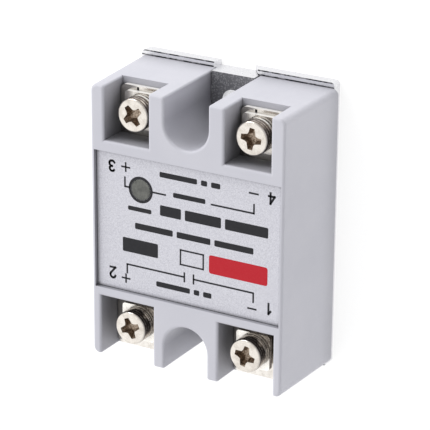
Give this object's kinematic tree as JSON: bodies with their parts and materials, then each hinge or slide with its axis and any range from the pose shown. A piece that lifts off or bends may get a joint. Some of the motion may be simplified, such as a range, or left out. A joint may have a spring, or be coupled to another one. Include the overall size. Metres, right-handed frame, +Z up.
{
  "type": "solid state relay",
  "caption": "Flat block relay on a metal base plate, with screw terminals in open recesses at both ends, mounting channels, a foil label and an indicator window.",
  "frame": {"origin": "centre of the base plate's underside", "axes": "+X across the block, +Y along it towards the output terminals 1 and 2, +Z up out of the front face"},
  "size_m": [0.045, 0.0608, 0.0234],
  "materials": {
    "plate_metal": "satin",
    "seal": "matte",
    "housing_plastic": "fine satin",
    "label_foil": "brushed satin foil",
    "lens": "gloss",
    "led": "gloss",
    "nickel": "bright nickel plate",
    "screw_nickel": "bright nickel plate",
    "ceramic": "matte",
    "black_epoxy": "matte",
    "copper": "satin copper",
    "board": "solder mask",
    "resistor_body": "lacquer",
    "capacitor_sleeve": "gloss",
    "resin": "semi gloss"
  },
  "bodies": {
    "root": {"base_plate": "plate_metal", "base_seal": "seal", "housing": "housing_plastic", "label": "label_foil", "indicator_lens": "lens", "indicator_led": "led", "ceramic_insulator": "ceramic", "power_transistor_1": "black_epoxy", "power_transistor_2": "black_epoxy", "drain_bus_bar": "copper", "source_bus_bar": "copper", "gate_wire_1": "copper", "gate_wire_2": "copper", "control_board": "board", "optocoupler": "black_epoxy", "input_resistor": "resistor_body", "gate_resistor": "resistor_body", "reverse_diode": "black_epoxy", "suppressor_diode": "black_epoxy", "drive_transistor": "black_epoxy", "filter_capacitor": "capacitor_sleeve", "potting_resin": "resin", "terminal_strip_1": "nickel", "terminal_nut_1": "nickel", "terminal_strip_2": "nickel", "terminal_nut_2": "nickel", "terminal_strip_3": "nickel", "terminal_nut_3": "nickel", "terminal_strip_4": "nickel", "terminal_nut_4": "nickel"},
    "clamp_1": {"clamp_washer_1": "nickel", "spring_washer_1": "nickel"},
    "screw_1": {"terminal_screw_1": "screw_nickel"},
    "clamp_2": {"clamp_washer_2": "nickel", "spring_washer_2": "nickel"},
    "screw_2": {"terminal_screw_2": "screw_nickel"},
    "clamp_3": {"clamp_washer_3": "nickel", "spring_washer_3": "nickel"},
    "screw_3": {"terminal_screw_3": "screw_nickel"},
    "clamp_4": {"clamp_washer_4": "nickel", "spring_washer_4": "nickel"},
    "screw_4": {"terminal_screw_4": "screw_nickel"}
  },
  "joints": [
    {"name": "clamp_1_lift", "type": "slide", "parent": "root", "child": "clamp_1", "axis": [0, 0, 1], "range_m": [-0.0014, 0.0028]},
    {"name": "screw_1_turn", "type": "hinge", "parent": "clamp_1", "child": "screw_1", "pos_m": [-0.0133, 0.0221, 0.0189], "axis": [0, 0, 1], "range_deg": [-720.5, 1440.5]},
    {"name": "clamp_2_lift", "type": "slide", "parent": "root", "child": "clamp_2", "axis": [0, 0, 1], "range_m": [-0.0014, 0.0028]},
    {"name": "screw_2_turn", "type": "hinge", "parent": "clamp_2", "child": "screw_2", "pos_m": [0.0133, 0.0221, 0.0189], "axis": [0, 0, 1], "range_deg": [-720.5, 1440.5]},
    {"name": "clamp_3_lift", "type": "slide", "parent": "root", "child": "clamp_3", "axis": [0, 0, 1], "range_m": [0, 0.0042]},
    {"name": "screw_3_turn", "type": "hinge", "parent": "clamp_3", "child": "screw_3", "pos_m": [0.0133, -0.0231, 0.0189], "axis": [0, 0, 1], "range_deg": [0, 2160.5]},
    {"name": "clamp_4_lift", "type": "slide", "parent": "root", "child": "clamp_4", "axis": [0, 0, 1], "range_m": [0, 0.0042]},
    {"name": "screw_4_turn", "type": "hinge", "parent": "clamp_4", "child": "screw_4", "pos_m": [-0.0133, -0.0231, 0.0189], "axis": [0, 0, 1], "range_deg": [0, 2160.5]}
  ],
  "couplings": [
    {"joint": "screw_1_turn", "follows": "clamp_1_lift", "rad_per_m": 8976},
    {"joint": "screw_2_turn", "follows": "clamp_2_lift", "rad_per_m": 8976},
    {"joint": "screw_3_turn", "follows": "clamp_3_lift", "rad_per_m": 8976},
    {"joint": "screw_4_turn", "follows": "clamp_4_lift", "rad_per_m": 8976}
  ]
}
